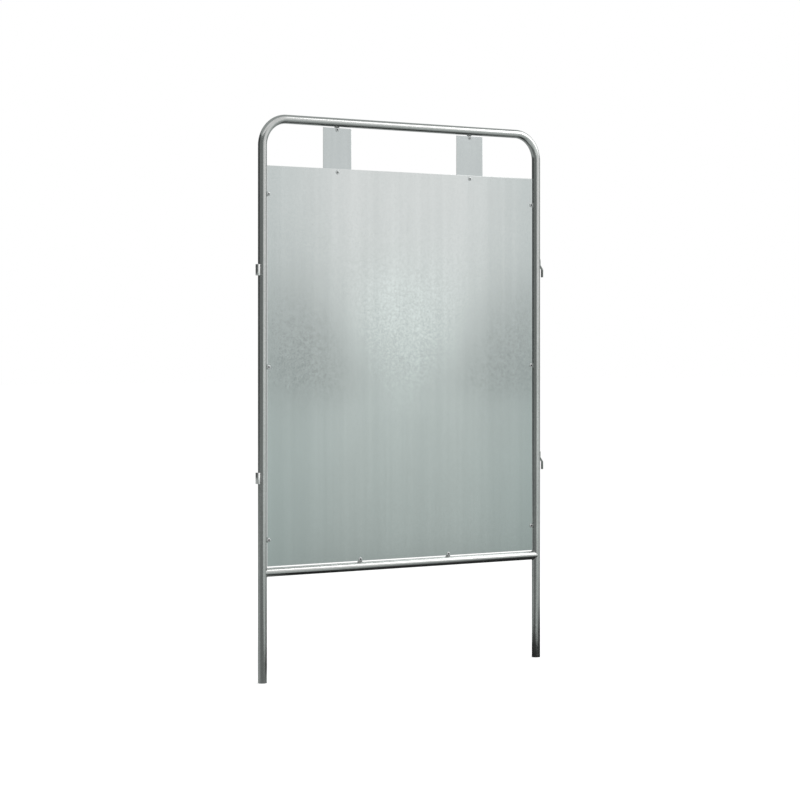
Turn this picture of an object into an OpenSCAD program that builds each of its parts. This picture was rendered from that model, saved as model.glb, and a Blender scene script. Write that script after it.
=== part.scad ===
// Free-standing poster board: a bent steel tube frame with a flat sheet for posters.
// Boards stand in a row: the hooks of one board drop into the keepers of the next.
// X runs along the board, -Y is the poster side, Z is up from the ground.

/* [Poster sheet] */
// Width of the sheet
sheet_w = 1250; // [900:10:1600]
// Height of the sheet
sheet_h = 1500; // [1200:10:1800]
// Thickness of the sheet
sheet_t = 1.5; // [1:0.25:2]
// How far the sheet's front face stands before the tube axes
sheet_front = 2; // [1.5:0.25:4]

/* [Tube frame] */
// Outer diameter of the tube
tube_d = 33.7; // [30:0.1:42.4]
// Wall of the tube
tube_wall = 2; // [1.5:0.1:3]
// Radius of the top corners, to the middle of the tube
bend_r = 104; // [80:1:140]
// Bare leg from the ground to the rail
leg_clear = 395; // [250:5:600]
// Gap between the rail's saddle ends and the legs, for the weld to fill
root_gap = 0.2; // [0.1:0.05:0.4]

/* [Gaps around the sheet] */
// Gap between the sheet and each leg
side_gap = 3.5; // [3:0.5:10]
// Gap between the rail and the sheet's bottom edge
bottom_gap = 5; // [4:0.5:12]
// Clear height from the sheet's top edge to the top tube
head_room = 160; // [100:5:250]

/* [Top plates] */
// Width of a top plate
plate_w = 128; // [80:1:180]
// Thickness of a top plate
plate_t = 1.5; // [1:0.25:3]
// Gap between a plate's top edge and the top tube
plate_gap = 4; // [3.5:0.5:10]
// How far a plate reaches down behind the sheet
plate_lap = 28; // [24:1:60]
// Distance from the board's middle to a plate's middle
plate_x = 312.5; // [200:2.5:340]

/* [Lugs] */
// Width of a lug, and of its rounded end
lug_w = 20; // [18:1:30]
// Thickness of a lug
lug_t = 3; // [2:0.5:5]
// Height of the lowest side lugs above the sheet's bottom edge
low_lug_rise = 99; // [60:1:200]
// Drop of the highest side lugs below the sheet's top edge
high_lug_drop = 107; // [60:1:200]
// Distance from the board's middle to a bottom lug
bottom_lug_x = 208; // [100:1:350]

/* [Rivets] */
// Diameter of a rivet's shank
rivet_d = 6.4; // [4.8:0.1:7]
// Diameter of a rivet's flange
flange_d = 16; // [13:0.5:17]
// Thickness of the flange at its rim
flange_rim = 0.7; // [0.5:0.1:1]
// Rise of the domed head above the rim
flange_dome = 1.8; // [1:0.1:2.5]
// Diameter of the pulled mandrel and of the hole in the head
mandrel_d = 3.8; // [2.5:0.1:4.2]
// Depth of the broken mandrel below the top of the head
mandrel_dip = 1.4; // [0.8:0.1:2]
// Diameter of the blind bulge
bulge_d = 9.5; // [8:0.1:11]
// Length of the blind bulge
bulge_l = 4; // [3:0.5:8]
// Length of the mandrel's head behind the bulge
mandrel_head = 2; // [1:0.5:3]
// Clearance of a rivet hole all round the shank
rivet_clear = 0.15; // [0.1:0.05:0.3]
// Distance from the sheet's edge to the rivets along it
rivet_edge = 6; // [5:0.5:12]
// Drop of the upper plate rivet below the plate's top edge
plate_rivet_drop = 7; // [6.5:0.5:14]
// Drop of the lower plate rivet below the sheet's top edge
sheet_rivet_drop = 13; // [10:0.5:14]

/* [Keepers on the left leg] */
// Height of a keeper
keeper_h = 42; // [34:1:60]
// Thickness of a keeper's strap
keeper_t = 3; // [2:0.25:4]
// Inside bend radius of the strap
keeper_r = 1.5; // [1:0.25:2]
// Depth of the slot between the leg and the strap
slot_deep = 6; // [5:0.25:9]
// Clearance of a hook's tongue at each side of the slot
slot_clear = 1; // [0.5:0.1:1.5]
// Rise of the lower keeper's middle above the rail's axis
low_keeper_rise = 353; // [200:1:450]
// Drop of the upper keeper's middle below the top tube's axis
high_keeper_drop = 568; // [400:1:650]

/* [Hooks on the right leg] */
// Width of a hook's strip
hook_w = 12; // [10:0.5:14]
// Thickness of a hook's strip
hook_t = 3; // [2:0.25:4]
// Inside bend radius of the strip
hook_r = 3; // [2:0.25:5]
// Length of the root that is welded on the leg
hook_root = 22; // [16:1:40]
// Gap between the leg and the hanging tongue
hook_gap = 13.5; // [12:0.5:18]
// Slope of the strip away from the leg, in degrees from upright
hook_angle = 36; // [28:1:45]
// Length of the straight tongue
tongue_l = 29; // [20:1:36]
// Height of the tongue's upper end above the keeper's top edge
hook_rise = 2; // [0:0.5:4]

/* [Welds] */
// Leg length of the beads along the rail's saddles
rail_bead = 2; // [1:0.1:2.5]
// How far those beads stop short of the saddles' pointed tips, in depth
tip_clear = 0.8; // [0.5:0.1:3]
// Radius of the beads along lugs, keepers and hooks
bead = 2.2; // [1.5:0.1:2.4]

/* [Hidden] */

$fn = 64;
bend_steps = 8;                            // flats along each bend of a strip
cut = 1;                                   // how far a cutting tool runs past a face

tube_r = tube_d / 2;
leg_x = sheet_w / 2 + side_gap + tube_r;   // leg axes at -leg_x and +leg_x
rail_z = leg_clear + tube_r;
sheet_low = rail_z + tube_r + bottom_gap;
sheet_high = sheet_low + sheet_h;
top_z = sheet_high + head_room + tube_r;
bend_z = top_z - bend_r;
plate_high = top_z - tube_r - plate_gap;

// layers from the front to the back, each one seated on the one before it
sheet_y = -sheet_front;
back_y = sheet_y + sheet_t;
plate_back_y = back_y + plate_t;

side_rivet_x = sheet_w / 2 - rivet_edge;
side_lug_z = [
    sheet_low + low_lug_rise,
    (sheet_low + low_lug_rise + sheet_high - high_lug_drop) / 2,
    sheet_high - high_lug_drop
];
bottom_rivet_z = sheet_low + rivet_edge;
plate_rivet_z = plate_high - plate_rivet_drop;
sheet_rivet_z = sheet_high - sheet_rivet_drop;
hole_r = rivet_d / 2 + rivet_clear;

keeper_z = [rail_z + low_keeper_rise, top_z - high_keeper_drop];
keeper_inner = hook_w + 2 * slot_clear;
keeper_outer = keeper_inner + 2 * keeper_t;

// the hook's slanted run, and the drop from its root's foot to its tongue
hook_slant = (hook_gap - (2 * hook_r + hook_t) * (1 - cos(hook_angle))) / sin(hook_angle);
hook_drop = (2 * hook_r + hook_t) * sin(hook_angle) + hook_slant * cos(hook_angle);
hook_root_z = [for (z = keeper_z) z + keeper_h / 2 + hook_rise + hook_drop];

steel = [0.72, 0.74, 0.75];
zinc_sheet = [0.76, 0.78, 0.78];
zinc_plate = [0.74, 0.76, 0.76];
bare_rivet = [0.82, 0.83, 0.84];
dark_steel = [0.25, 0.25, 0.26];
weld_zinc = [0.62, 0.64, 0.65];

// Bar along the whole bent tube: two legs, two corners and the top
module hoop(r, below = 0) {
    for (side = [0, 1]) mirror([side, 0, 0]) {
        translate([leg_x, 0, -below]) cylinder(h = bend_z + below, r = r);
        translate([leg_x - bend_r, 0, bend_z]) rotate([90, 0, 0])
            rotate_extrude(angle = 90) translate([bend_r, 0]) circle(r = r);
    }
    translate([0, 0, top_z]) rotate([0, 90, 0])
        cylinder(h = 2 * (leg_x - bend_r), r = r, center = true);
}

module leg_bar(side, r) {
    translate([side * leg_x, 0, -cut]) cylinder(h = top_z, r = r);
}

module rail_bar(r, l = 2 * leg_x) {
    translate([0, 0, rail_z]) rotate([0, 90, 0]) cylinder(h = l, r = r, center = true);
}

module top_bar(r) {
    translate([0, 0, top_z]) rotate([0, 90, 0]) cylinder(h = 2 * leg_x, r = r, center = true);
}

// One tube bent into an upside-down U, open at both feet
module frame_tube() color(steel) difference() {
    hoop(tube_r);
    hoop(tube_r - tube_wall, below = cut);
}

// Straight rail with a saddle at each end that fits round the leg
module rail_tube() color(steel) difference() {
    rail_bar(tube_r);
    rail_bar(tube_r - tube_wall, 2 * leg_x + 2 * cut);
    for (side = [-1, 1]) leg_bar(side, tube_r + root_gap);
}

// Drills front to back at a point of the board
module rivet_hole(x, z) {
    translate([x, 0, z]) rotate([90, 0, 0]) cylinder(h = 2 * tube_d, r = hole_r, center = true);
}

module panel_sheet() color(zinc_sheet) difference() {
    translate([-sheet_w / 2, sheet_y, sheet_low]) cube([sheet_w, sheet_t, sheet_h]);
    for (side = [-1, 1]) {
        for (z = side_lug_z) rivet_hole(side * side_rivet_x, z);
        rivet_hole(side * bottom_lug_x, bottom_rivet_z);
        rivet_hole(side * plate_x, sheet_rivet_z);
    }
}

// Flat plate that hangs the sheet's top edge from the top tube
module top_plate(side) color(zinc_plate) difference() {
    translate([side * plate_x - plate_w / 2, back_y, sheet_high - plate_lap])
        cube([plate_w, plate_t, plate_high - sheet_high + plate_lap]);
    rivet_hole(side * plate_x, plate_rivet_z);
    rivet_hole(side * plate_x, sheet_rivet_z);
}

// Flat lug in the X-Z plane: round end with the hole at the origin, tail along +X
module lug(tail) {
    rotate([90, 0, 0]) translate([0, 0, -lug_t]) linear_extrude(lug_t) difference() {
        union() {
            circle(d = lug_w);
            translate([0, -lug_w / 2]) square([tail, lug_w]);
        }
        circle(r = hole_r);
    }
}

module side_lug(side, z) color(steel) difference() {
    translate([side * side_rivet_x, back_y, z]) mirror([side < 0 ? 1 : 0, 0, 0])
        lug(leg_x - side_rivet_x);
    leg_bar(side, tube_r);
}

module bottom_lug(side) color(steel) difference() {
    translate([side * bottom_lug_x, back_y, bottom_rivet_z]) rotate([0, 90, 0])
        lug(bottom_rivet_z - rail_z);
    rail_bar(tube_r);
}

module top_lug(side) color(steel) difference() {
    translate([side * plate_x, plate_back_y, plate_rivet_z]) rotate([0, -90, 0])
        lug(top_z - plate_rivet_z);
    top_bar(tube_r);
}

function ahead(h) = [cos(h), sin(h)];
function left_of(h) = [-sin(h), cos(h)];

// Points [place, heading] along the right-hand face of a bent strip. After each run it
// bends by a turn, to the left if positive, with the inside radius r and the thickness t.
function strip_face(runs, turns, t, r, p = [0, 0], h = 0, i = 0) =
    let(q = p + runs[i] * ahead(h))
    i == len(turns) ? [[q, h]] :
    let(m = turns[i] > 0 ? t + r : -r, c = q + m * left_of(h), g = h + turns[i])
    concat([for (k = [0:bend_steps]) let(b = h + turns[i] * k / bend_steps) [c - m * left_of(b), b]],
           strip_face(runs, turns, t, r, c - m * left_of(g), g, i + 1));

// Strip that starts at the origin along +X, with its thickness towards +Y
module bent_strip(runs, turns, t, r) {
    face = concat([[[0, 0], 0]], strip_face(runs, turns, t, r));
    polygon(concat([for (f = face) f[0]],
                   [for (i = [len(face) - 1:-1:0]) face[i][0] + t * left_of(face[i][1])]));
}

// U-shaped strap, drawn for a leg at the origin and an outside towards +X
module keeper_strap() {
    web = keeper_inner - 2 * keeper_r;
    arm = tube_r + slot_deep - keeper_r;
    linear_extrude(keeper_h, center = true) difference() {
        translate([0, -keeper_outer / 2])
            bent_strip([arm, web, arm], [90, 90], keeper_t, keeper_r);
        circle(r = tube_r);
    }
}

module keeper(i) color(steel)
    translate([-leg_x, 0, keeper_z[i]]) mirror([1, 0, 0]) keeper_strap();

// Joggled strip that hangs down from z = 0, flat on a leg's outermost line at x = 0
module hook_strip() {
    translate([0, hook_w / 2, 0]) rotate([90, 0, 0]) linear_extrude(hook_w) rotate(-90)
        bent_strip([hook_root, hook_slant, tongue_l], [hook_angle, -hook_angle], hook_t, hook_r);
}

module hook(i) color(steel)
    translate([leg_x + tube_r, 0, hook_root_z[i] + hook_root]) hook_strip();

// Blind rivet with its flange on the plane y = 0 and its shank towards +Y
module rivet(grip) {
    head = flange_rim + flange_dome;
    dome_r = (pow(flange_d / 2, 2) + pow(flange_dome, 2)) / (2 * flange_dome);
    rotate([-90, 0, 0]) difference() {
        union() {
            rotate_extrude() intersection() {
                translate([0, dome_r - head]) circle(r = dome_r);
                translate([0, -head]) square([flange_d / 2, head]);
            }
            cylinder(h = grip, d = rivet_d);
            translate([0, 0, grip]) cylinder(h = bulge_l, d = bulge_d);
        }
        translate([0, 0, -head - cut]) cylinder(h = head + grip + bulge_l + 2 * cut, d = mandrel_d);
    }
}

// Broken-off mandrel that stays in a rivet, with its head behind the bulge
module mandrel(grip) {
    top = -flange_rim - flange_dome + mandrel_dip;
    rotate([-90, 0, 0]) {
        translate([0, 0, top]) cylinder(h = grip + bulge_l - top, d = mandrel_d);
        translate([0, 0, grip + bulge_l]) cylinder(h = mandrel_head, d = rivet_d);
    }
}

module at_side_rivets() {
    for (side = [-1, 1], z = side_lug_z) translate([side * side_rivet_x, sheet_y, z]) children();
}

module at_bottom_rivets() {
    for (side = [-1, 1]) translate([side * bottom_lug_x, sheet_y, bottom_rivet_z]) children();
}

module at_plate_top_rivets() {
    for (side = [-1, 1]) translate([side * plate_x, back_y, plate_rivet_z]) children();
}

module at_sheet_top_rivets() {
    for (side = [-1, 1]) translate([side * plate_x, sheet_y, sheet_rivet_z]) children();
}

module side_rivets() color(bare_rivet) at_side_rivets() rivet(sheet_t + lug_t);
module bottom_rivets() color(bare_rivet) at_bottom_rivets() rivet(sheet_t + lug_t);
module plate_top_rivets() color(bare_rivet) at_plate_top_rivets() rivet(plate_t + lug_t);
module sheet_top_rivets() color(bare_rivet) at_sheet_top_rivets() rivet(sheet_t + plate_t);

module rivet_mandrels() color(dark_steel) {
    at_side_rivets() mandrel(sheet_t + lug_t);
    at_bottom_rivets() mandrel(sheet_t + lug_t);
    at_plate_top_rivets() mandrel(plate_t + lug_t);
    at_sheet_top_rivets() mandrel(sheet_t + plate_t);
}

// Beads over and under each saddle, in the corner between the rail and the leg
module rail_welds() color(weld_zinc) for (side = [-1, 1]) difference() {
    intersection() {
        rail_bar(tube_r + rail_bead);
        leg_bar(side, tube_r + rail_bead);
        cube([3 * leg_x, 2 * (tube_r - tip_clear), 3 * leg_x], center = true);
    }
    rail_bar(tube_r, 3 * leg_x);
    leg_bar(side, tube_r);
}

// Where a flat face at the offset y from the tube's axis meets the tube
function seat(y) = sqrt(tube_r * tube_r - y * y);

module side_lug_welds() color(weld_zinc) for (side = [-1, 1], z = side_lug_z, face = [0, 1]) {
    y = back_y + face * lug_t;
    difference() {
        translate([side * (leg_x - seat(y)), y, z]) cylinder(h = lug_w, r = bead, center = true);
        leg_bar(side, tube_r);
        translate([side * leg_x - tube_d, back_y, z - lug_w]) cube([2 * tube_d, lug_t, 2 * lug_w]);
    }
}

module bottom_lug_welds() color(weld_zinc) for (side = [-1, 1], face = [0, 1]) {
    y = back_y + face * lug_t;
    difference() {
        translate([side * bottom_lug_x, y, rail_z + seat(y)]) rotate([0, 90, 0])
            cylinder(h = lug_w, r = bead, center = true);
        rail_bar(tube_r);
        translate([side * bottom_lug_x - lug_w, back_y, rail_z]) cube([2 * lug_w, lug_t, tube_d]);
    }
}

module top_lug_welds() color(weld_zinc) for (side = [-1, 1], face = [0, 1]) {
    y = plate_back_y + face * lug_t;
    difference() {
        translate([side * plate_x, y, top_z - seat(y)]) rotate([0, 90, 0])
            cylinder(h = lug_w, r = bead, center = true);
        top_bar(tube_r);
        translate([side * plate_x - lug_w, plate_back_y, top_z - tube_d]) cube([2 * lug_w, lug_t, tube_d]);
    }
}

module keeper_welds() color(weld_zinc) for (i = [0, 1], face = [-1, 1])
    translate([-leg_x, 0, keeper_z[i]]) mirror([1, 0, 0]) {
        y = face * keeper_outer / 2;
        difference() {
            translate([seat(y), y, 0]) cylinder(h = keeper_h, r = bead, center = true);
            cylinder(h = 2 * keeper_h, r = tube_r, center = true);
            translate([0, -keeper_outer / 2, -keeper_h]) cube([tube_d, keeper_outer, 2 * keeper_h]);
        }
    }

module hook_welds() color(weld_zinc) for (z = hook_root_z, face = [-1, 1]) difference() {
    translate([leg_x + seat(hook_w / 2), face * hook_w / 2, z]) cylinder(h = hook_root, r = bead);
    leg_bar(1, tube_r);
    translate([leg_x + tube_r, -hook_w / 2, z - cut]) cube([hook_t, hook_w, hook_root + 2 * cut]);
}

frame_tube();
rail_tube();
panel_sheet();
top_plate(-1);  // left_top_plate
top_plate(1);  // right_top_plate
side_lug(-1, side_lug_z[0]);  // left_lower_lug
side_lug(-1, side_lug_z[1]);  // left_middle_lug
side_lug(-1, side_lug_z[2]);  // left_upper_lug
side_lug(1, side_lug_z[0]);  // right_lower_lug
side_lug(1, side_lug_z[1]);  // right_middle_lug
side_lug(1, side_lug_z[2]);  // right_upper_lug
bottom_lug(-1);  // left_bottom_lug
bottom_lug(1);  // right_bottom_lug
top_lug(-1);  // left_top_lug
top_lug(1);  // right_top_lug
keeper(0);  // lower_keeper
keeper(1);  // upper_keeper
hook(0);  // lower_hook
hook(1);  // upper_hook
side_rivets();
bottom_rivets();
plate_top_rivets();
sheet_top_rivets();
rivet_mandrels();
rail_welds();
side_lug_welds();
bottom_lug_welds();
top_lug_welds();
keeper_welds();
hook_welds();
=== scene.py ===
import math
import random

import bmesh
import bpy
import numpy as np
from mathutils import Matrix, Vector, geometry


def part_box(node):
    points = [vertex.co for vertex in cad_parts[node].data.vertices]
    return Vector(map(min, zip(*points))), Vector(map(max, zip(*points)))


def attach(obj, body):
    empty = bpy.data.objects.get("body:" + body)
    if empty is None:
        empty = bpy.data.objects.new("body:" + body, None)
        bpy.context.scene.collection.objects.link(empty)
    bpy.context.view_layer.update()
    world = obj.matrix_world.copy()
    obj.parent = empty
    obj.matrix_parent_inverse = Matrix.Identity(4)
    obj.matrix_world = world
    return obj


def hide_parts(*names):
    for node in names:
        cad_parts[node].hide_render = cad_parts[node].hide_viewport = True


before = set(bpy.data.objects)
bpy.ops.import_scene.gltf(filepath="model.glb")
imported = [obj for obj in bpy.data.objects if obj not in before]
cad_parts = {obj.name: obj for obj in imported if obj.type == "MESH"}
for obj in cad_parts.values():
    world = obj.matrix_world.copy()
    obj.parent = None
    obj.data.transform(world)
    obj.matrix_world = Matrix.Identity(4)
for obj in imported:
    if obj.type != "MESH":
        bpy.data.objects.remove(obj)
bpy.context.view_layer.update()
print("frame loaded:", len(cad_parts), "nodes")

# Places and sizes that come straight from the frame
hoopLow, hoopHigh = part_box("frame_tube")
railLow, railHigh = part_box("rail_tube")
tubeR = hoopHigh.y
legX = hoopHigh.x - tubeR
topZ = hoopHigh.z - tubeR
railZ = (railLow.z + railHigh.z) / 2


# Mesh helpers

def addPiece(name, points, faces, material, slotName, nodes, sharp=50, run=None):
    # run holds each point's place on the straight tube before it was bent
    mesh = bpy.data.meshes.new(name)
    mesh.from_pydata([tuple(p) for p in points], [], faces)
    shell = bmesh.new()
    shell.from_mesh(mesh)
    bmesh.ops.recalc_face_normals(shell, faces=shell.faces)
    shell.to_mesh(mesh)
    shell.free()
    mesh.shade_smooth()
    mesh.set_sharp_from_angle(angle=math.radians(sharp))
    if run is not None:
        place = mesh.attributes.new("run", "FLOAT_VECTOR", "POINT")
        place.data.foreach_set("vector", np.asarray(run, np.float32).ravel())
    mesh.materials.append(material)
    piece = bpy.data.objects.new(name, mesh)
    bpy.context.scene.collection.objects.link(piece)
    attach(piece, "root")
    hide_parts(*nodes)
    return piece


def ringFaces(ringCount, across, closed, offset=0):
    # quads between rings that lie one after the other, each with the same number of points
    faces = []
    for i in range(ringCount if closed else ringCount - 1):
        here, there = i * across, (i + 1) % ringCount * across
        for j in range(across):
            k = (j + 1) % across
            faces.append((offset + here + j, offset + here + k, offset + there + k, offset + there + j))
    return faces


def circleAngles(count):
    return [2 * math.pi * i / count for i in range(count)]


def insetLoop(loop, amount):
    # moves a loop towards the metal: inwards if it runs counterclockwise, outwards if clockwise
    moved = []
    for i, here in enumerate(loop):
        before = (here - loop[i - 1]).normalized()
        after = (loop[(i + 1) % len(loop)] - here).normalized()
        side = Vector((-before.y - after.y, before.x + after.x))
        lean = side.length / 2
        moved.append(here + side.normalized() * amount / max(lean, 0.4))
    return moved


def plateShell(loops, thick, edge):
    # flat part with rounded edges: the first loop is its outline, the others are holes
    points, faces, rims = [], [], []
    soft = 1 - math.sqrt(0.5)
    steps = [(edge * 2, 0), (edge, 0), (edge * soft, edge * soft), (0, edge), (0, thick - edge),
             (edge * soft, thick - edge * soft), (edge, thick), (edge * 2, thick)]
    for loop in loops:
        offset = len(points)
        for amount, height in steps:
            points += [(p.x, p.y, height) for p in insetLoop(loop, amount)]
        faces += ringFaces(len(steps), len(loop), False, offset)
        rims.append((offset, offset + (len(steps) - 1) * len(loop), len(loop)))
    inner = [insetLoop(loop, edge * 2) for loop in loops]
    for which in (0, 1):
        order = [rim[which] + i for rim in rims for i in range(rim[2])]
        flat = [Vector(points[i][:2]) for i in order]
        sides, at = [], 0
        for rim in rims:
            sides += [(at + i, at + (i + 1) % rim[2]) for i in range(rim[2])]
            at += rim[2]
        made = geometry.delaunay_2d_cdt(flat, sides, [], 1, 1e-7)
        for tri in made[2]:
            middle = sum((made[0][i] for i in tri), Vector((0, 0))) / 3
            if insideMetal(middle, inner):
                faces.append(tuple(order[made[3][i][0]] for i in tri))
    return points, faces


def insideMetal(place, loops):
    crossings = 0
    for loop in loops:
        for i, b in enumerate(loop):
            a = loop[i - 1]
            if (a.y > place.y) != (b.y > place.y):
                if place.x < (b.x - a.x) * (place.y - a.y) / (b.y - a.y) + a.x:
                    crossings += 1
    return crossings % 2 == 1


def roundHole(x, y, radius, count=24):
    return [Vector((x + radius * math.cos(a), y - radius * math.sin(a))) for a in circleAngles(count)]


def moved(points, matrix):
    return [matrix @ Vector(p) for p in points]


def upright(y):
    # stands a flat part that was drawn in X and Z on its front face at that Y
    return Matrix.Translation((0, y, 0)) @ Matrix(((1, 0, 0, 0), (0, 0, 1, 0), (0, 1, 0, 0), (0, 0, 0, 1)))


# Node helpers

def nodeTools(tree):
    def add(kind, inputs=None, **settings):
        node = tree.nodes.new(kind)
        for key, value in settings.items():
            setattr(node, key, value)
        for key, value in (inputs or {}).items():
            node.inputs[key].default_value = value
        return node

    def wire(start, end):
        tree.links.new(start, end)

    return add, wire


def makeGroup(name, inputs, outputs):
    group = bpy.data.node_groups.new(name, "ShaderNodeTree")
    for label, kind, value in inputs:
        socket = group.interface.new_socket(label, in_out="INPUT", socket_type=kind)
        if value is not None:
            socket.default_value = value
    for label in outputs:
        group.interface.new_socket(label, in_out="OUTPUT", socket_type="NodeSocketFloat")
    add, wire = nodeTools(group)
    return group, add, wire, add("NodeGroupInput"), add("NodeGroupOutput")


number, arrow = "NodeSocketFloat", "NodeSocketVector"


# Zinc crystals: a tone for each crystal, and a slight step at their borders
def spangleGroup():
    group, add, wire, start, end = makeGroup(
        "zincSpangle", [("Place", arrow, None), ("Size", number, 0.006)], ["Tone", "Height"])
    inverse = add("ShaderNodeMath", {0: 1.0}, operation="DIVIDE")
    wire(start.outputs["Size"], inverse.inputs[1])
    grown = add("ShaderNodeVectorMath", operation="SCALE")
    wire(start.outputs["Place"], grown.inputs[0])
    wire(inverse.outputs[0], grown.inputs["Scale"])
    wobble = add("ShaderNodeTexNoise", {"Scale": 1.4, "Detail": 2.0})
    wire(grown.outputs[0], wobble.inputs["Vector"])
    bent = add("ShaderNodeVectorMath", {1: (0.7, 0.7, 0.7)}, operation="MULTIPLY")
    wire(wobble.outputs["Color"], bent.inputs[0])
    shifted = add("ShaderNodeVectorMath", operation="ADD")
    wire(grown.outputs[0], shifted.inputs[0])
    wire(bent.outputs[0], shifted.inputs[1])
    cells = add("ShaderNodeTexVoronoi", {"Scale": 1.0, "Randomness": 1.0})
    wire(shifted.outputs[0], cells.inputs["Vector"])
    split = add("ShaderNodeSeparateColor")
    wire(cells.outputs["Color"], split.inputs[0])
    wire(split.outputs[0], end.inputs["Tone"])
    rims = add("ShaderNodeTexVoronoi", {"Scale": 1.0}, feature="DISTANCE_TO_EDGE")
    wire(shifted.outputs[0], rims.inputs["Vector"])
    lifted = add("ShaderNodeMath", {1: 0.35}, operation="MULTIPLY")
    wire(split.outputs[1], lifted.inputs[0])
    total = add("ShaderNodeMath", operation="ADD")
    wire(rims.outputs["Distance"], total.inputs[0])
    wire(lifted.outputs[0], total.inputs[1])
    wire(total.outputs[0], end.inputs["Height"])
    return group


# Long faint lines from rolling or drawing, along the third axis
def linesGroup():
    group, add, wire, start, end = makeGroup(
        "rolledLines", [("Place", arrow, None), ("Width", number, 0.004), ("Length", number, 0.6)], ["Tone"])
    sizes = add("ShaderNodeCombineXYZ")
    for axis, label in enumerate(("Width", "Width", "Length")):
        wire(start.outputs[label], sizes.inputs[axis])
    grown = add("ShaderNodeVectorMath", operation="DIVIDE")
    wire(start.outputs["Place"], grown.inputs[0])
    wire(sizes.outputs[0], grown.inputs[1])
    streak = add("ShaderNodeTexNoise", {"Scale": 1.0, "Detail": 3.0, "Roughness": 0.55})
    wire(grown.outputs[0], streak.inputs["Vector"])
    wire(streak.outputs["Fac"], end.inputs["Tone"])
    return group


# Dull cloudy zinc that has begun to weather
def bloomGroup():
    group, add, wire, start, end = makeGroup(
        "zincBloom", [("Place", arrow, None), ("Size", number, 0.2), ("Cover", number, 0.5)], ["Mask"])
    grown = add("ShaderNodeVectorMath", operation="SCALE")
    inverse = add("ShaderNodeMath", {0: 1.0}, operation="DIVIDE")
    wire(start.outputs["Size"], inverse.inputs[1])
    wire(start.outputs["Place"], grown.inputs[0])
    wire(inverse.outputs[0], grown.inputs["Scale"])
    cloud = add("ShaderNodeTexNoise", {"Scale": 1.0, "Detail": 6.0, "Roughness": 0.6, "Distortion": 0.3})
    wire(grown.outputs[0], cloud.inputs["Vector"])
    upper = add("ShaderNodeMath", {0: 1.0}, operation="SUBTRACT")
    wire(start.outputs["Cover"], upper.inputs[1])
    lower = add("ShaderNodeMath", {1: 0.25}, operation="SUBTRACT")
    wire(upper.outputs[0], lower.inputs[0])
    top = add("ShaderNodeMath", {1: 0.25}, operation="ADD")
    wire(upper.outputs[0], top.inputs[0])
    ramp = add("ShaderNodeMapRange", interpolation_type="SMOOTHSTEP")
    wire(cloud.outputs["Fac"], ramp.inputs["Value"])
    wire(lower.outputs[0], ramp.inputs["From Min"])
    wire(top.outputs[0], ramp.inputs["From Max"])
    wire(ramp.outputs[0], end.inputs["Mask"])
    return group


# Lighter edges, partly rubbed wear and partly a painted highlight, where the rounded normal turns away from
# the true one
def wearAndHighlightGroup():
    group, add, wire, start, end = makeGroup(
        "edgeWearAndHighlight", [("Place", arrow, None), ("Width", number, 0.001)], ["Mask"])
    rounded = add("ShaderNodeBevel", samples=6)
    wire(start.outputs["Width"], rounded.inputs["Radius"])
    true = add("ShaderNodeNewGeometry")
    match = add("ShaderNodeVectorMath", operation="DOT_PRODUCT")
    wire(rounded.outputs[0], match.inputs[0])
    wire(true.outputs["True Normal"], match.inputs[1])
    spread = add("ShaderNodeMapRange", {"From Min": 0.99, "From Max": 0.86})
    wire(match.outputs["Value"], spread.inputs["Value"])
    patchy = add("ShaderNodeTexNoise", {"Scale": 220.0, "Detail": 3.0})
    wire(start.outputs["Place"], patchy.inputs["Vector"])
    mask = add("ShaderNodeMath", operation="MULTIPLY")
    wire(spread.outputs[0], mask.inputs[0])
    wire(patchy.outputs["Fac"], mask.inputs[1])
    wire(mask.outputs[0], end.inputs["Mask"])
    return group


spangle, lines, bloom, wearAndHighlight = spangleGroup(), linesGroup(), bloomGroup(), wearAndHighlightGroup()
print("effect groups made")


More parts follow.
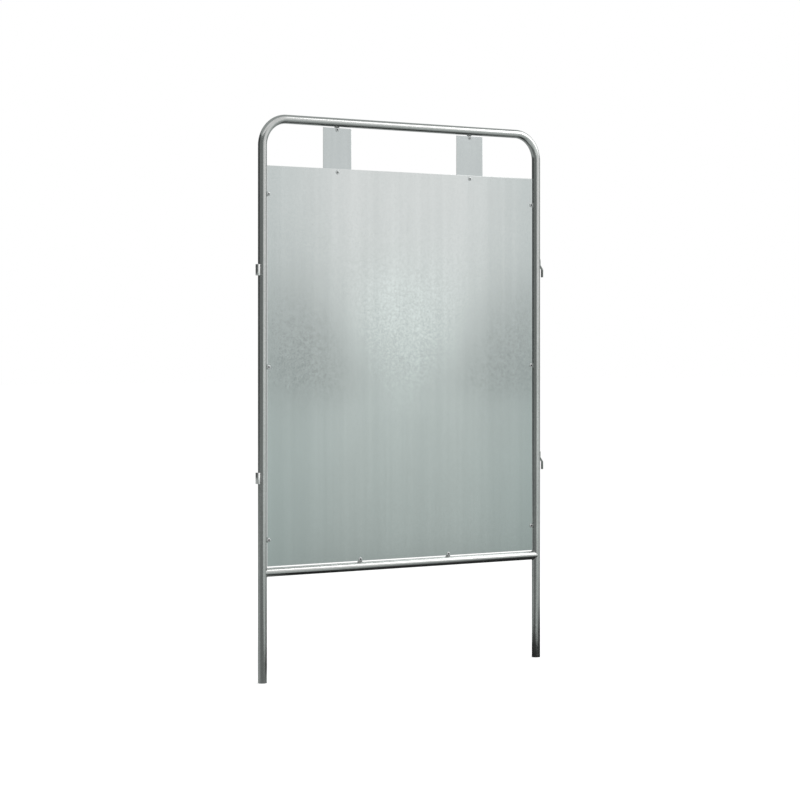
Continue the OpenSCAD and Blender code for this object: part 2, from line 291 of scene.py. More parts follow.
# Galvanised steel in all its shades: tube, sheet, fittings, welds
def zincMaterial(name, look):
    material = bpy.data.materials.new(name)
    material.use_nodes = True
    tree = material.node_tree
    add, wire = nodeTools(tree)
    shader = tree.nodes["Principled BSDF"]
    shader.inputs["Metallic"].default_value = look["metallic"]
    if look["place"] == "run":
        place = add("ShaderNodeAttribute", attribute_name="run").outputs["Vector"]
    else:
        place = add("ShaderNodeTexCoord").outputs["Object"]

    def effect(group, **values):
        node = add("ShaderNodeGroup", node_tree=group)
        wire(place, node.inputs["Place"])
        for key, value in values.items():
            node.inputs[key].default_value = value
        return node

    def mixed(factor, a, b, mode="MIX"):
        mix = add("ShaderNodeMix", data_type="RGBA", blend_type=mode)
        for socket, value in ((mix.inputs["Factor"], factor), (mix.inputs["A"], a), (mix.inputs["B"], b)):
            if isinstance(value, bpy.types.NodeSocket):
                wire(value, socket)
            else:
                socket.default_value = value
        return mix.outputs["Result"]

    def ranged(value, low, high, fromLow=0.0, fromHigh=1.0):
        node = add("ShaderNodeMapRange", {"From Min": fromLow, "From Max": fromHigh, "To Min": low,
                                          "To Max": high})
        wire(value, node.inputs["Value"])
        return node.outputs[0]

    crystals = effect(spangle, Size=look["crystal"])
    streaks = effect(lines, Width=look["lineWide"], Length=look["lineLong"])
    clouds = effect(bloom, Size=look["cloud"], Cover=look["cover"])
    color = mixed(ranged(crystals.outputs["Tone"], 0.0, look["crystalTone"]), look["light"], look["dark"])
    color = mixed(ranged(streaks.outputs["Tone"], 0.0, look["lineTone"], 0.35, 0.65), color, look["dark"])
    color = mixed(ranged(clouds.outputs["Mask"], 0.0, look["cloudTone"]), color, look["dull"])
    if "shade" in look:
        color = look["shade"](add, wire, mixed, ranged, place, color)
    if "wearAndHighlightWide" in look:
        # edges lightened: rubbed wear and a painted highlight
        bare = effect(wearAndHighlight, Width=look["wearAndHighlightWide"])
        color = mixed(ranged(bare.outputs["Mask"], 0.0, 1.4), color, look["bare"])
    wire(color, shader.inputs["Base Color"])

    rough = add("ShaderNodeMath", operation="ADD")
    wire(ranged(clouds.outputs["Mask"], look["rough"][0], look["rough"][1]), rough.inputs[0])
    wire(ranged(crystals.outputs["Tone"], -0.03, 0.03), rough.inputs[1])
    wire(rough.outputs[0], shader.inputs["Roughness"])

    grain = add("ShaderNodeTexNoise", {"Scale": 1 / look["grain"], "Detail": 4.0})
    wire(place, grain.inputs["Vector"])
    heights = add("ShaderNodeMath", operation="MULTIPLY_ADD")
    wire(grain.outputs["Fac"], heights.inputs[0])
    heights.inputs[1].default_value = look["grainHigh"]
    wire(crystals.outputs["Height"], heights.inputs[2])
    wave = add("ShaderNodeMath", operation="MULTIPLY_ADD")
    wire(streaks.outputs["Tone"], wave.inputs[0])
    wave.inputs[1].default_value = look["lineHigh"]
    wire(heights.outputs[0], wave.inputs[2])
    bump = add("ShaderNodeBump", {"Strength": look["bump"], "Distance": look["depth"]})
    wire(wave.outputs[0], bump.inputs["Height"])
    wire(bump.outputs[0], shader.inputs["Normal"])
    return material


# The hoop: one tube bent into an upside-down U

hoop = dict(wall=0.002, bend=0.104, edge=0.0005, around=72, bendRings=30, step=0.12)
tubeLook = dict(
    metallic=1.0, place="run", crystal=0.007, lineWide=0.0035, lineLong=0.5, cloud=0.16, cover=0.45,
    light=(0.60, 0.61, 0.60, 1), dark=(0.36, 0.37, 0.36, 1), dull=(0.43, 0.44, 0.43, 1),
    crystalTone=0.22, lineTone=0.3, cloudTone=0.4, rough=(0.16, 0.26),
    grain=0.0012, grainHigh=0.5, lineHigh=0.4, bump=0.04, depth=0.0004)


def hoopPlace(s):
    # place and direction on the centre line, from the left foot round to the right one
    bend, leg = hoop["bend"], topZ - hoop["bend"]
    arc, top = math.pi / 2 * hoop["bend"], 2 * (legX - hoop["bend"])
    if s <= leg:
        return Vector((-legX, 0, s)), Vector((0, 0, 1))
    if s <= leg + arc:
        a = (s - leg) / bend
        return Vector((-legX + bend - bend * math.cos(a), 0, leg + bend * math.sin(a))), \
            Vector((math.sin(a), 0, math.cos(a)))
    if s <= leg + arc + top:
        return Vector((-legX + bend + s - leg - arc, 0, topZ)), Vector((1, 0, 0))
    if s <= leg + 2 * arc + top:
        a = (s - leg - arc - top) / bend
        return Vector((legX - bend + bend * math.sin(a), 0, leg + bend * math.cos(a))), \
            Vector((math.cos(a), 0, -math.sin(a)))
    return Vector((legX, 0, 2 * leg + 2 * arc + top - s)), Vector((0, 0, -1))


def hoopStations():
    bend, leg = hoop["bend"], topZ - hoop["bend"]
    arc, top = math.pi / 2 * bend, 2 * (legX - bend)
    stations, at = [], 0
    for long, count in ((leg, round(leg / hoop["step"])), (arc, hoop["bendRings"]),
                        (top, round(top / hoop["step"])), (arc, hoop["bendRings"]),
                        (leg, round(leg / hoop["step"]))):
        stations += [at + long * i / count for i in range(count)]
        at += long
    return stations[1:], at


def makeHoop(material):
    inner, edge = tubeR - hoop["wall"], hoop["edge"]
    between, total = hoopStations()
    outside = [edge, edge * 3] + between + [total - edge * 3, total - edge]
    rings = [(s, tubeR) for s in outside] + [(total, tubeR - edge), (total, inner + edge)]
    rings += [(s, inner) for s in reversed(outside)] + [(0, inner + edge), (0, tubeR - edge)]
    points, run = [], []
    for s, r in rings:
        middle, ahead = hoopPlace(s)
        side = Vector((-ahead.z, 0, ahead.x))
        for a in circleAngles(hoop["around"]):
            points.append(middle + side * (r * math.cos(a)) + Vector((0, r * math.sin(a), 0)))
            run.append((r * math.cos(a), r * math.sin(a), s))
    faces = ringFaces(len(rings), hoop["around"], True)
    return addPiece("hoopTube", points, faces, material, "tube", ["frame_tube"], run=run)


# The rail: a straight tube with saddle ends
rail = dict(wall=0.002, gap=0.0002, around=72, step=0.12)


def makeRail(material):
    inner = tubeR - rail["wall"]
    count = round(2 * legX / rail["step"])
    shares = [2 * i / count - 1 for i in range(count + 1)]
    points, run = [], []
    for r, order in ((tubeR, shares), (inner, shares[::-1])):
        for share in order:
            for a in circleAngles(rail["around"]):
                y, z = r * math.sin(a), r * math.cos(a)
                x = share * (legX - math.sqrt((tubeR + rail["gap"]) ** 2 - y * y))
                points.append((x, y, railZ + z))
                run.append((y, z, x + 7))
    faces = ringFaces(2 * len(shares), rail["around"], True)
    return addPiece("railTube", points, faces, material, "tube", ["rail_tube"], run=run)


# The sheet, and the two plates that hang it from the top tube
sheet = dict(edge=0.0003, hole=0.00335)
plate = dict(edge=0.0003, hole=0.00335)
sheetLow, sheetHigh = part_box("panel_sheet")


def paintReflectionOnSheet(add, wire, mixed, ranged, place, color):
    # painted reflection and shade: the sheet's colour is palest at the middle and the top, and darker
    # towards the sides and lower down, standing in for the sky and ground that the zinc reflects
    split = add("ShaderNodeSeparateXYZ")
    wire(place, split.inputs[0])
    drift = add("ShaderNodeTexNoise", {"Scale": 1.1, "Detail": 2.0})
    wire(place, drift.inputs["Vector"])
    level = add("ShaderNodeMath", {1: 0.35}, operation="MULTIPLY_ADD")
    wire(drift.outputs["Fac"], level.inputs[0])
    wire(split.outputs["Z"], level.inputs[2])
    paintedLowReflection = ranged(level.outputs[0], 1.0, 0.0, sheetLow.z + 0.1, sheetHigh.z + 0.1)
    # painted reflection: darker lower down
    color = mixed(paintedLowReflection, color, (0.90, 0.94, 0.925, 1), "MULTIPLY")
    paintedSideShade = add("ShaderNodeMath", operation="ABSOLUTE")
    wire(split.outputs["X"], paintedSideShade.inputs[0])
    # painted shade: darker towards the sides
    return mixed(ranged(paintedSideShade.outputs[0], 0.0, 1.0, 0.25, 0.66), color, (0.82, 0.85, 0.85, 1), "MULTIPLY")


sheetLook = dict(
    metallic=1.0, place="object", crystal=0.006, lineWide=0.05, lineLong=2.5, cloud=0.35, cover=0.4,
    light=(0.67, 0.695, 0.69, 1), dark=(0.53, 0.56, 0.555, 1), dull=(0.56, 0.58, 0.57, 1),
    bare=(0.86, 0.87, 0.86, 1), wearAndHighlightWide=0.0022,
    crystalTone=0.16, lineTone=0.25, cloudTone=0.35, rough=(0.155, 0.18), shade=paintReflectionOnSheet,
    grain=0.0015, grainHigh=0.5, lineHigh=0.3, bump=0.004, depth=0.0003)
plateLook = dict(
    sheetLook, light=(0.535, 0.57, 0.57, 1), dark=(0.44, 0.47, 0.47, 1), dull=(0.47, 0.50, 0.50, 1),
    lineWide=0.03, lineLong=0.6)
del plateLook["shade"]


def rectangle(x0, z0, x1, z1):
    return [Vector((x0, z0)), Vector((x1, z0)), Vector((x1, z1)), Vector((x0, z1))]


def middleOf(low, high):
    return (low + high) / 2


sideLugs = ["left_upper_lug", "left_middle_lug", "left_lower_lug",
            "right_upper_lug", "right_middle_lug", "right_lower_lug"]
bottomLugs = ["left_bottom_lug", "right_bottom_lug"]
topLugs = ["left_top_lug", "right_top_lug"]
topPlates = ["left_top_plate", "right_top_plate"]
lugHalf = (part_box(sideLugs[0])[1].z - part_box(sideLugs[0])[0].z) / 2
sheetRivetZ = middleOf(*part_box("sheet_top_rivets")).z


def lugEye(name):
    # centre of the lug's round end, and the way that its tail points
    low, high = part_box(name)
    middle = middleOf(low, high)
    if name in sideLugs:
        if low.x < 0:
            return Vector((high.x - lugHalf, middle.z)), math.pi
        return Vector((low.x + lugHalf, middle.z)), 0
    if name in bottomLugs:
        return Vector((middle.x, high.z - lugHalf)), -math.pi / 2
    return Vector((middle.x, low.z + lugHalf)), math.pi / 2


def makeSheet(material):
    loops = [rectangle(sheetLow.x, sheetLow.z, sheetHigh.x, sheetHigh.z)]
    for name in sideLugs + bottomLugs:
        eye = lugEye(name)[0]
        loops.append(roundHole(eye.x, eye.y, sheet["hole"]))
    for name in topPlates:
        loops.append(roundHole(middleOf(*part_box(name)).x, sheetRivetZ, sheet["hole"]))
    points, faces = plateShell(loops, sheetHigh.y - sheetLow.y, sheet["edge"])
    return addPiece("posterSheet", moved(points, upright(sheetLow.y)), faces, material, "sheet",
                    ["panel_sheet"])


def makePlates(material):
    for name, lug, label in zip(topPlates, topLugs, ("leftTopPlate", "rightTopPlate")):
        low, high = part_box(name)
        x = middleOf(low, high).x
        loops = [rectangle(low.x, low.z, high.x, high.z), roundHole(x, lugEye(lug)[0].y, plate["hole"]),
                 roundHole(x, sheetRivetZ, plate["hole"])]
        points, faces = plateShell(loops, high.y - low.y, plate["edge"])
        addPiece(label, moved(points, upright(low.y)), faces, material, "plate", [name])


# Lugs, keepers and hooks: flat steel with rounded edges
lugShape = dict(edge=0.0004, hole=0.00335, sunk=0.0006, roundSteps=20)
fittingLook = dict(
    metallic=1.0, place="object", crystal=0.004, lineWide=0.003, lineLong=0.05, cloud=0.02, cover=0.5,
    light=(0.62, 0.63, 0.62, 1), dark=(0.38, 0.39, 0.38, 1), dull=(0.48, 0.49, 0.48, 1),
    bare=(0.84, 0.84, 0.83, 1), wearAndHighlightWide=0.0009,
    crystalTone=0.3, lineTone=0.25, cloudTone=0.5, rough=(0.18, 0.32),
    grain=0.0008, grainHigh=0.8, lineHigh=0.2, bump=0.1, depth=0.0003)


def seat(y):
    # how far from the tube's axis a face at that depth meets the tube
    return math.sqrt(tubeR * tubeR - y * y)


def turned(loop, heading, centre):
    c, s = math.cos(heading), math.sin(heading)
    return [Vector((centre.x + p.x * c - p.y * s, centre.y + p.x * s + p.y * c)) for p in loop]


def makeLug(name, material):
    low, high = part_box(name)
    eye, heading = lugEye(name)
    axis = Vector((math.copysign(legX, eye.x), eye.y))
    if name in bottomLugs:
        axis = Vector((eye.x, railZ))
    elif name in topLugs:
        axis = Vector((eye.x, topZ))
    tail = (axis - eye).length - seat((low.y + high.y) / 2) + lugShape["sunk"]
    steps = lugShape["roundSteps"]
    loop = [Vector((tail, -lugHalf)), Vector((tail, lugHalf))]
    loop += [Vector((lugHalf * math.cos(a), lugHalf * math.sin(a)))
             for a in (math.pi / 2 + math.pi * i / steps for i in range(steps + 1))]
    loops = [turned(loop, heading, eye), roundHole(eye.x, eye.y, lugShape["hole"])]
    points, faces = plateShell(loops, high.y - low.y, lugShape["edge"])
    words = name.split("_")
    label = words[0] + "".join(w.capitalize() for w in words[1:])
    addPiece(label, moved(points, upright(low.y)), faces, material, "lug", [name])


strip = dict(edge=0.0004, bendSteps=8)
# painted light and shade: the keepers get a much lighter copy of the fitting zinc and the hooks a darker one
litKeeperLook = dict(
    fittingLook, light=(0.97, 0.97, 0.96, 1), dark=(0.75, 0.76, 0.75, 1), dull=(0.86, 0.86, 0.85, 1))
shadedHookLook = dict(
    fittingLook, light=(0.5, 0.51, 0.5, 1), dark=(0.3, 0.31, 0.3, 1), dull=(0.38, 0.39, 0.38, 1))
keeper = dict(thick=0.003, radius=0.0015)
hook = dict(thick=0.003, radius=0.003, angle=math.radians(36), root=0.022)


def bentLoop(runs, turns, thick, radius):
    # outline of a strip that starts along +X; a positive turn bends it to the left
    place, heading, face = Vector((0, 0)), 0, [(Vector((0, 0)), 0)]
    for i, run in enumerate(runs):
        place = place + run * Vector((math.cos(heading), math.sin(heading)))
        if i == len(turns):
            face.append((place, heading))
            break
        reach = thick + radius if turns[i] > 0 else -radius
        centre = place + reach * Vector((-math.sin(heading), math.cos(heading)))
        for k in range(strip["bendSteps"] + 1):
            a = heading + turns[i] * k / strip["bendSteps"]
            face.append((centre - reach * Vector((-math.sin(a), math.cos(a))), a))
        heading += turns[i]
        place = face[-1][0]
    back = [p + thick * Vector((-math.sin(a), math.cos(a))) for p, a in reversed(face)]
    return [p for p, a in face] + back


def makeKeepers(material):
    for name, label in (("upper_keeper", "upperKeeper"), ("lower_keeper", "lowerKeeper")):
        low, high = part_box(name)
        thick, radius, deep = keeper["thick"], keeper["radius"], high.y - low.y
        arm = -low.x - legX - thick - radius
        loop = bentLoop([arm, deep - 2 * thick - 2 * radius, arm], [math.pi / 2] * 2, thick, radius)
        loop = [Vector((p.x, p.y - deep / 2)) for p in loop]
        for i in (0, len(loop) // 2 - 1, len(loop) // 2, -1):
            loop[i].x = seat(loop[i].y) - lugShape["sunk"]
        flat = Matrix.Translation((-legX, 0, low.z)) @ Matrix.Diagonal((-1, 1, 1, 1))
        points, faces = plateShell([loop], high.z - low.z, strip["edge"])
        addPiece(label, moved(points, flat), faces, material, "strap", [name])


def makeHooks(material):
    for name, label in (("upper_hook", "upperHook"), ("lower_hook", "lowerHook")):
        low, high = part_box(name)
        thick, radius, angle, root = (hook[k] for k in ("thick", "radius", "angle", "root"))
        gap = high.x - legX - tubeR - thick
        slant = (gap - (2 * radius + thick) * (1 - math.cos(angle))) / math.sin(angle)
        drop = (2 * radius + thick) * math.sin(angle) + slant * math.cos(angle)
        tongue = high.z - low.z - root - drop
        loop = bentLoop([root, slant, tongue], [angle, -angle], thick, radius)
        loop = turned(loop, -math.pi / 2, Vector((legX + tubeR, high.z)))
        points, faces = plateShell([loop], high.y - low.y, strip["edge"])
        addPiece(label, moved(points, upright(low.y)), faces, material, "strap", [name])


# Blind rivets with a large flange, and the mandrels that broke off in them
rivet = dict(flange=0.008, rim=0.0007, dome=0.0018, bore=0.0019, shank=0.0032, bulge=0.00475,
             bulgeLong=0.004, lip=0.0003, around=40, domeSteps=9, dirt=(0.0031, 0.0043))
mandrel = dict(dip=0.0014, head=0.002, around=20)


def shadeRivet(add, wire, mixed, ranged, place, color):
    # painted shade: the rivet's colour is darkened round the hole that the mandrel broke off in
    flat = add("ShaderNodeVectorMath", {1: (1, 1, 0)}, operation="MULTIPLY")
    wire(place, flat.inputs[0])
    out = add("ShaderNodeVectorMath", operation="LENGTH")
    wire(flat.outputs[0], out.inputs[0])
    dirt = ranged(out.outputs["Value"], 1.0, 0.0, *rivet["dirt"])
    return mixed(dirt, color, (0.3, 0.3, 0.3, 1), "MULTIPLY")


rivetLook = dict(
    metallic=0.8, place="run", crystal=0.002, lineWide=0.0006, lineLong=0.002, cloud=0.006, cover=0.4,
    light=(0.66, 0.68, 0.68, 1), dark=(0.5, 0.52, 0.52, 1), dull=(0.56, 0.57, 0.57, 1),
    crystalTone=0.15, lineTone=0.15, cloudTone=0.4, rough=(0.55, 0.7), shade=shadeRivet,
    grain=0.0005, grainHigh=0.5, lineHigh=0.1, bump=0.1, depth=0.0002)
# the mandrels are near black: painted shade for the hole that they sit in
shadedMandrelLook = dict(
    rivetLook, place="object", light=(0.06, 0.06, 0.06, 1), dark=(0.03, 0.03, 0.03, 1),
    dull=(0.07, 0.05, 0.04, 1), rough=(0.45, 0.65))
del shadedMandrelLook["shade"]


def lathe(profile, place, around, closed):
    # turns (radius, depth) points round a front-to-back axis; an open profile ends on the axis
    points = [(place.x + r * math.cos(a), place.y + t, place.z + r * math.sin(a))
              for r, t in profile for a in circleAngles(around)]
    faces = ringFaces(len(profile), around, closed)
    if not closed:
        for ring, t in ((0, profile[0][1]), (len(profile) - 1, profile[-1][1])):
            points.append((place.x, place.y + t, place.z))
            faces += [(ring * around + j, ring * around + (j + 1) % around, len(points) - 1)
                      for j in range(around)]
    return points, faces


def rivetProfile(grip):
    flange, bore, rim, dome, lip = (rivet[k] for k in ("flange", "bore", "rim", "dome", "lip"))
    back = grip + rivet["bulgeLong"]
    crown = [(bore, lip - rim - dome)]
    for i in range(rivet["domeSteps"] + 1):
        r = bore + lip + (flange - bore - 2 * lip) * i / rivet["domeSteps"]
        crown.append((r, -rim - dome * (1 - (r / flange) ** 2)))
    crown += [(flange - lip / 3, -rim + lip / 4), (flange, -rim / 2), (flange - lip / 2, 0)]
    shank, bulge = rivet["shank"], rivet["bulge"]
    rest = [(shank, 0), (shank, grip), (bulge * 0.82, grip), (bulge * 0.97, grip + 0.0009),
            (bulge, grip + 0.0018), (bulge * 0.93, back - 0.0011), (bulge * 0.78, back - 0.0002),
            (bulge * 0.7, back), (bore, back)]
    return crown + rest


def mandrelProfile(grip):
    top = -rivet["rim"] - rivet["dome"] + mandrel["dip"]
    back = grip + rivet["bulgeLong"]
    stem, head = rivet["bore"], rivet["shank"]
    return [(stem * 0.45, top + 0.0002), (stem * 0.8, top - 0.0001), (stem, top + 0.0003), (stem, back),
            (head * 0.95, back), (head, back + 0.0003), (head, back + mandrel["head"] - 0.0004),
            (head * 0.85, back + mandrel["head"]), (head * 0.4, back + mandrel["head"])]


def rivetSeats():
    # where each group of rivets sits: its node, the piece's name, its places and its grip
    front = sheetLow.y
    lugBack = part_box(sideLugs[0])[1].y
    plateLow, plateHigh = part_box(topPlates[0])
    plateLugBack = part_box(topLugs[0])[1].y
    eyes = {n: lugEye(n)[0] for n in sideLugs + bottomLugs + topLugs}
    overSheet = [Vector((eyes[n].x, front, eyes[n].y)) for n in sideLugs]
    overRail = [Vector((eyes[n].x, front, eyes[n].y)) for n in bottomLugs]
    overPlate = [Vector((eyes[n].x, plateLow.y, eyes[n].y)) for n in topLugs]
    overBoth = [Vector((eyes[n].x, front, sheetRivetZ)) for n in topLugs]
    return [("side_rivets", "sideRivets", overSheet, lugBack - front),
            ("bottom_rivets", "bottomRivets", overRail, lugBack - front),
            ("plate_top_rivets", "plateTopRivets", overPlate, plateLugBack - plateLow.y),
            ("sheet_top_rivets", "sheetTopRivets", overBoth, plateHigh.y - front)]


def joined(shells):
    points, faces = [], []
    for some, around in shells:
        faces += [tuple(i + len(points) for i in face) for face in around]
        points += some
    return points, faces


def makeRivets(material, darkMaterial):
    stems = []
    for node, label, places, grip in rivetSeats():
        heads = [lathe(rivetProfile(grip), p, rivet["around"], True) for p in places]
        stems += [lathe(mandrelProfile(grip), p, mandrel["around"], False) for p in places]
        run = [(r * math.cos(a), r * math.sin(a), t + i * 0.04) for i in range(len(places))
               for r, t in rivetProfile(grip) for a in circleAngles(rivet["around"])]
        addPiece(label, *joined(heads), material, "rivet", [node], sharp=40, run=run)
    addPiece("rivetMandrels", *joined(stems), darkMaterial, "mandrel", ["rivet_mandrels"], sharp=45)


# Weld beads, swept along their corners with the ripples of the arc
weld = dict(radius=0.0026, railRadius=0.0021, tipRadius=0.0009, ripple=0.2, pitch=0.0026, step=0.0005,
            around=12, saddleSteps=254)
weldLook = dict(
    metallic=0.88, place="object", crystal=0.002, lineWide=0.001, lineLong=0.004, cloud=0.008, cover=0.55,
    light=(0.50, 0.51, 0.50, 1), dark=(0.30, 0.31, 0.31, 1), dull=(0.37, 0.37, 0.36, 1),
    crystalTone=0.3, lineTone=0.2, cloudTone=0.6, rough=(0.36, 0.55),
    grain=0.0006, grainHigh=1.0, lineHigh=0.2, bump=0.3, depth=0.0003)
chance = random.Random(11)


def beadShell(path, radii, closed):
    points, count = [], len(path)
    side = None
    for i, here in enumerate(path):
        before = path[i - 1] if closed or i else here
        after = path[(i + 1) % count] if closed or i < count - 1 else here
        ahead = (after - before).normalized()
        if side is None:
            side = ahead.orthogonal()
        side = (side - ahead * side.dot(ahead)).normalized()
        other = ahead.cross(side)
        wave = 1 + weld["ripple"] * math.sin(2 * math.pi * i * weld["step"] / weld["pitch"])
        r = radii[i] * wave * chance.uniform(0.96, 1.04)
        points += [here + side * (r * math.cos(a)) + other * (r * math.sin(a))
                   for a in circleAngles(weld["around"])]
    faces = ringFaces(count, weld["around"], closed)
    if not closed:
        for ring, tip in ((0, path[0]), (count - 1, path[-1])):
            points.append(tip)
            faces += [(ring * weld["around"] + j, ring * weld["around"] + (j + 1) % weld["around"],
                       len(points) - 1) for j in range(weld["around"])]
    return points, faces


def straightBead(start, end):
    long = (end - start).length
    count = max(8, round(long / weld["step"]))
    path = [start.lerp(end, i / count) for i in range(count + 1)]
    ends = [min(i, count - i) * long / count / weld["radius"] for i in range(count + 1)]
    radii = [weld["radius"] * math.sqrt(1 - max(0, 1 - e) ** 2) + 0.0001 for e in ends]
    return beadShell(path, radii, False)


def saddleBead(side):
    count = weld["saddleSteps"]
    path, radii = [], []
    for i in range(count):
        a = 2 * math.pi * (i + 0.5) / count
        r = weld["tipRadius"] + (weld["railRadius"] - weld["tipRadius"]) * abs(math.cos(a)) ** 0.5
        y, z = (tubeR - 1.2 * r * abs(math.sin(a))) * math.sin(a), tubeR * math.cos(a)
        path.append(Vector((side * (legX - seat(y)), y, railZ + z)))
        radii.append(r)
    return beadShell(path, radii, True)


def makeWelds(material):
    rails = [saddleBead(-1), saddleBead(1)]
    sides, bottoms, tops, keepers, hooks = [], [], [], [], []
    for name in sideLugs:
        low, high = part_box(name)
        for y in (low.y, high.y):
            x = math.copysign(legX - seat(y), low.x)
            sides.append(straightBead(Vector((x, y, low.z)), Vector((x, y, high.z))))
    for names, beads, z in ((bottomLugs, bottoms, lambda y: railZ + seat(y)),
                            (topLugs, tops, lambda y: topZ - seat(y))):
        for name in names:
            low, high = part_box(name)
            for y in (low.y, high.y):
                beads.append(straightBead(Vector((low.x, y, z(y))), Vector((high.x, y, z(y)))))
    for name in ("upper_keeper", "lower_keeper"):
        low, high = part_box(name)
        for y in (low.y, high.y):
            x = -legX - seat(y)
            keepers.append(straightBead(Vector((x, y, low.z)), Vector((x, y, high.z))))
    for name in ("upper_hook", "lower_hook"):
        low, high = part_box(name)
        for y in (low.y, high.y):
            x = legX + seat(y)
            hooks.append(straightBead(Vector((x, y, high.z - hook["root"])), Vector((x, y, high.z))))
    for label, node, beads in (("railWelds", "rail_welds", rails), ("sideLugWelds", "side_lug_welds", sides),
                               ("bottomLugWelds", "bottom_lug_welds", bottoms),
                               ("topLugWelds", "top_lug_welds", tops),
                               ("keeperWelds", "keeper_welds", keepers), ("hookWelds", "hook_welds", hooks)):
        addPiece(label, *joined(beads), material, "weld", [node], sharp=60)


tubeZinc = zincMaterial("tubeZinc", tubeLook)
makeHoop(tubeZinc)
makeRail(tubeZinc)
print("tubes made")
makeSheet(zincMaterial("sheetZinc", sheetLook))
makePlates(zincMaterial("plateZinc", plateLook))
print("sheet and plates made")
fittingZinc = zincMaterial("fittingZinc", fittingLook)
for lugName in sideLugs + bottomLugs + topLugs:
    makeLug(lugName, fittingZinc)
makeKeepers(zincMaterial("litKeeperZinc", litKeeperLook))
makeHooks(zincMaterial("hookZinc", shadedHookLook))
print("lugs, keepers and hooks made")
makeRivets(zincMaterial("rivetMetal", rivetLook), zincMaterial("mandrelSteel", shadedMandrelLook))
makeWelds(zincMaterial("weldZinc", weldLook))
print("rivets and welds made")


# The studio: pale floor, white surroundings, one big soft lamp, and a grey backdrop that only
# reflections see
studio = dict(around=0.55, floor=(0.86, 0.86, 0.86, 1), floorLift=0.56, tint=(0.94, 1, 0.985, 1),
              lamp=dict(heading=334, rise=33, distance=7.0, size=(5.8, 4.4), tone=1.9))


def whiteToView(add, wire):
    # 1 for what the camera sees straight, in a reflection or through glass
    path = add("ShaderNodeLightPath")
    total = path.outputs["Is Camera Ray"]
    for label in ("Is Glossy Ray", "Is Transmission Ray"):
        more = add("ShaderNodeMath", operation="MAXIMUM")
        wire(total, more.inputs[0])
        wire(path.outputs[label], more.inputs[1])
        total = more.outputs[0]
    return total


def makeWorld():
    world = bpy.data.worlds.new("studioAir")
    world.use_nodes = True
    bpy.context.scene.world = world
    add, wire = nodeTools(world.node_tree)
    background = world.node_tree.nodes["Background"]
    background.inputs["Color"].default_value = (1, 1, 1, 1)
    level = add("ShaderNodeMapRange", {"To Min": studio["around"], "To Max": 1.0})
    wire(whiteToView(add, wire), level.inputs["Value"])
    wire(level.outputs[0], background.inputs["Strength"])


def stagePiece(name, points, faces, color, lift, tint=(1, 1, 1, 1)):
    mesh = bpy.data.meshes.new(name)
    mesh.from_pydata(points, [], faces)
    piece = bpy.data.objects.new(name, mesh)
    bpy.context.scene.collection.objects.link(piece)
    material = bpy.data.materials.new(name)
    material.use_nodes = True
    shader = material.node_tree.nodes["Principled BSDF"]
    shader.inputs["Base Color"].default_value = color
    shader.inputs["Roughness"].default_value = 1.0
    shader.inputs["Specular IOR Level"].default_value = 0.0
    shader.inputs["Emission Color"].default_value = tint
    shader.inputs["Emission Strength"].default_value = lift
    mesh.materials.append(material)
    return piece


def flatSquare(half, z):
    return [(-half, -half, z), (half, -half, z), (half, half, z), (-half, half, z)]


def makeFloor():
    floor = stagePiece("floor", flatSquare(60, -0.0005), [(0, 1, 2, 3)], studio["floor"], 0)
    tree = floor.data.materials[0].node_tree
    add, wire = nodeTools(tree)
    lift = add("ShaderNodeMath", {1: studio["floorLift"]}, operation="MULTIPLY")
    wire(whiteToView(add, wire), lift.inputs[0])
    wire(lift.outputs[0], tree.nodes["Principled BSDF"].inputs["Emission Strength"])


def reflectedCard(name, points, faces, tone):
    card = stagePiece(name, points, faces, (0, 0, 0, 1), tone, studio["tint"])
    card.visible_camera = False
    card.visible_diffuse = False
    card.visible_transmission = False
    card.visible_shadow = False
    return card


# What the metal sees of the ground: pale ahead of the board, darker to the left and a little
# ahead on the right, grey behind, with a dark patch below the rail and one below the top tube.
# Turns are in degrees from +X, reaches and patches in metres.
seenGround = dict(
    reach=(3, 12), tones=(0.6, 1.1), left=0.35, leftTurn=(-118, -100), right=0.75, rightTurn=(-50, -38),
    ahead=0.3, aheadIn=(-67, -62), aheadOut=(-44, -48), behind=0.42, line=0.1, patchDepth=0.92,
    patches=(dict(X=(-0.5, -0.25, 0.85, 1.1), Y=(-0.75, -0.35, 0.35, 0.7)),
             dict(X=(0.7, 1.05, 2.0, 2.4), Y=(-1.6, -0.8, 0.4, 0.9))))


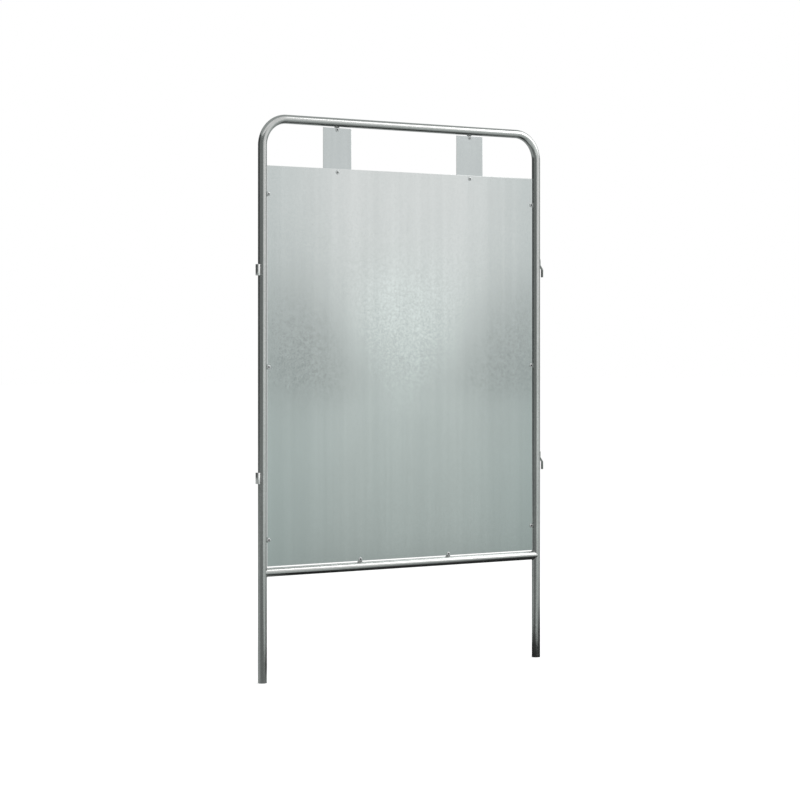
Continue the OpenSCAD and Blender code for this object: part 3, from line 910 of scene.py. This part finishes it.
def makeGround():
    ground = reflectedCard("reflectedGround", flatSquare(60, -0.0003), [(0, 1, 2, 3)], 1)
    tree = ground.data.materials[0].node_tree
    add, wire = nodeTools(tree)
    place = add("ShaderNodeTexCoord").outputs["Object"]
    split = add("ShaderNodeSeparateXYZ")
    wire(place, split.inputs[0])
    away = add("ShaderNodeVectorMath", operation="LENGTH")
    wire(place, away.inputs[0])
    angle = add("ShaderNodeMath", operation="ARCTAN2")
    wire(split.outputs["Y"], angle.inputs[0])
    wire(split.outputs["X"], angle.inputs[1])
    turn = angle.outputs[0]

    def ramp(value, start, end, low, high):
        node = add("ShaderNodeMapRange", {"From Min": start, "From Max": end, "To Min": low, "To Max": high},
                   interpolation_type="SMOOTHSTEP")
        wire(value, node.inputs["Value"])
        return node.outputs[0]

    def turnRamp(limits, low, high):
        return ramp(turn, math.radians(limits[0]), math.radians(limits[1]), low, high)

    def times(a, b):
        node = add("ShaderNodeMath", operation="MULTIPLY")
        wire(a, node.inputs[0])
        wire(b, node.inputs[1])
        return node.outputs[0]

    def dimmed(value, mask, depth):
        rest = add("ShaderNodeMath", {1: -depth, 2: 1.0}, operation="MULTIPLY_ADD")
        wire(mask, rest.inputs[0])
        return times(value, rest.outputs[0])

    tone = ramp(away.outputs["Value"], *seenGround["reach"], *seenGround["tones"])
    tone = times(tone, turnRamp(seenGround["leftTurn"], seenGround["left"], 1))
    tone = times(tone, turnRamp(seenGround["rightTurn"], 1, seenGround["right"]))
    ahead = times(turnRamp(seenGround["aheadIn"], 0, 1), turnRamp(seenGround["aheadOut"], 0, 1))
    tone = dimmed(tone, ahead, seenGround["ahead"])
    line = seenGround["line"]
    total = add("ShaderNodeMath", operation="ADD")
    wire(times(tone, ramp(split.outputs["Y"], line, -line, 0, 1)), total.inputs[0])
    wire(ramp(split.outputs["Y"], -line, line, 0, seenGround["behind"]), total.inputs[1])
    tone = total.outputs[0]
    for patch in seenGround["patches"]:
        sides = []
        for axis, (low, lowIn, highIn, high) in patch.items():
            sides.append(times(ramp(split.outputs[axis], low, lowIn, 0, 1),
                               ramp(split.outputs[axis], highIn, high, 1, 0)))
        tone = dimmed(tone, times(*sides), seenGround["patchDepth"])
    wire(tone, tree.nodes["Principled BSDF"].inputs["Emission Strength"])


# The backdrop far round the board, as cards: start and end in degrees from +X, then the tone.
# The low ones, nearer the board on the right, have their bottom and top in metres instead.
backdrop = dict(
    steps=48, behind=((62, 104, 0.33), (104, 168, 0.07)),
    left=((168, 240, 0.24), (240, 256, 0.3), (256, 266, 0.6)), right=(340, 422, 0.4),
    low=((0.01, 0.12, 0.66), (0.12, 0.28, 0.65), (0.28, 0.5, 0.67), (0.5, 0.96, 0.735)),
    lowTurn=(293.5, 314.5), lowRadius=4.8,
    hill=((298.5, 301.8, 0.29), (301.8, 307.8, 0.38), (307.8, 310.5, 0.34)),
    hillTop=1.9, hillDip=1.22, dipTurn=304.7, dipWide=3.0, hillLow=0.62,
    bright=(303.2, 306.2, 1.4), brightLow=0.9, above=0.5)


def hillTop(angle):
    dip = math.exp(-((angle - backdrop["dipTurn"]) / backdrop["dipWide"]) ** 2)
    return backdrop["hillTop"] - backdrop["hillDip"] * dip


def curvedCard(name, start, end, radius, top, tone, low=0.01):
    # upright card along an arc round the object, between two angles in degrees from +X;
    # top gives its height at an angle
    count, points, faces = backdrop["steps"], [], []
    for i in range(count + 1):
        angle = start + (end - start) * i / count
        x, y = radius * math.cos(math.radians(angle)), radius * math.sin(math.radians(angle))
        points += [(x, y, low), (x, y, top(angle))]
    for i in range(count):
        faces.append((2 * i, 2 * i + 2, 2 * i + 3, 2 * i + 1))
    return reflectedCard(name, points, faces, tone)


def makeBackdrop():
    for start, end, tone in backdrop["behind"]:
        curvedCard("cardBehind", start, end, 12, lambda angle: 9, tone)
    for start, end, tone in backdrop["left"]:
        curvedCard("cardLeft", start, end, 12.2, lambda angle: 9, tone)
    start, end, tone = backdrop["right"]
    curvedCard("cardRight", start, end, 12.6, lambda angle: 6 if angle < 366 else 14, tone)
    start, end = backdrop["lowTurn"]
    for low, high, tone in backdrop["low"]:
        curvedCard("lowCardFront", start, end, backdrop["lowRadius"], lambda angle: high, tone, low=low)
    for start, end, tone in backdrop["hill"]:
        curvedCard("hillCardFront", start, end, 12, hillTop, tone, low=backdrop["hillLow"])
    start, end, tone = backdrop["bright"]
    curvedCard("brightCardFront", start, end, 11.9, lambda angle: backdrop["hillTop"], tone,
               low=backdrop["brightLow"])
    reflectedCard("cardAbove", [(-14, -2.5, 9), (14, -2.5, 9), (14, 12, 9), (-14, 12, 9)], [(0, 1, 2, 3)],
                  backdrop["above"])


def softLamp(name, target, heading, rise, distance, size, tone):
    light = bpy.data.lights.new(name, "AREA")
    light.shape = "RECTANGLE"
    light.size, light.size_y = size
    light.energy = tone * math.pi * size[0] * size[1]
    lamp = bpy.data.objects.new(name, light)
    bpy.context.scene.collection.objects.link(lamp)
    a, b = math.radians(heading), math.radians(rise)
    away = Vector((math.cos(a) * math.cos(b), math.sin(a) * math.cos(b), math.sin(b)))
    lamp.location = Vector(target) + away * distance
    lamp.rotation_euler = away.to_track_quat("Z", "Y").to_euler()
    lamp.visible_camera = False


makeWorld()
makeFloor()
makeBackdrop()
makeGround()
softLamp("keyLamp", (0, 0, 1.2), **studio["lamp"])
print("studio made")

# The camera, at the place that the photograph was taken from
view = dict(place=(-5.152, -7.462, 1.260), yaw=34.5, lens=104.9, rise=-0.0681, side=0.0004)
lensData = bpy.data.cameras.new("photoView")
lensData.lens = view["lens"]
lensData.sensor_width = 36
lensData.shift_x = view["side"]
lensData.shift_y = view["rise"]
lensData.clip_end = 200
camera = bpy.data.objects.new("photoView", lensData)
bpy.context.scene.collection.objects.link(camera)
camera.location = view["place"]
camera.rotation_euler = (math.radians(90), 0, -math.radians(view["yaw"]))
bpy.context.scene.camera = camera
bpy.context.scene.view_settings.view_transform = "Standard"
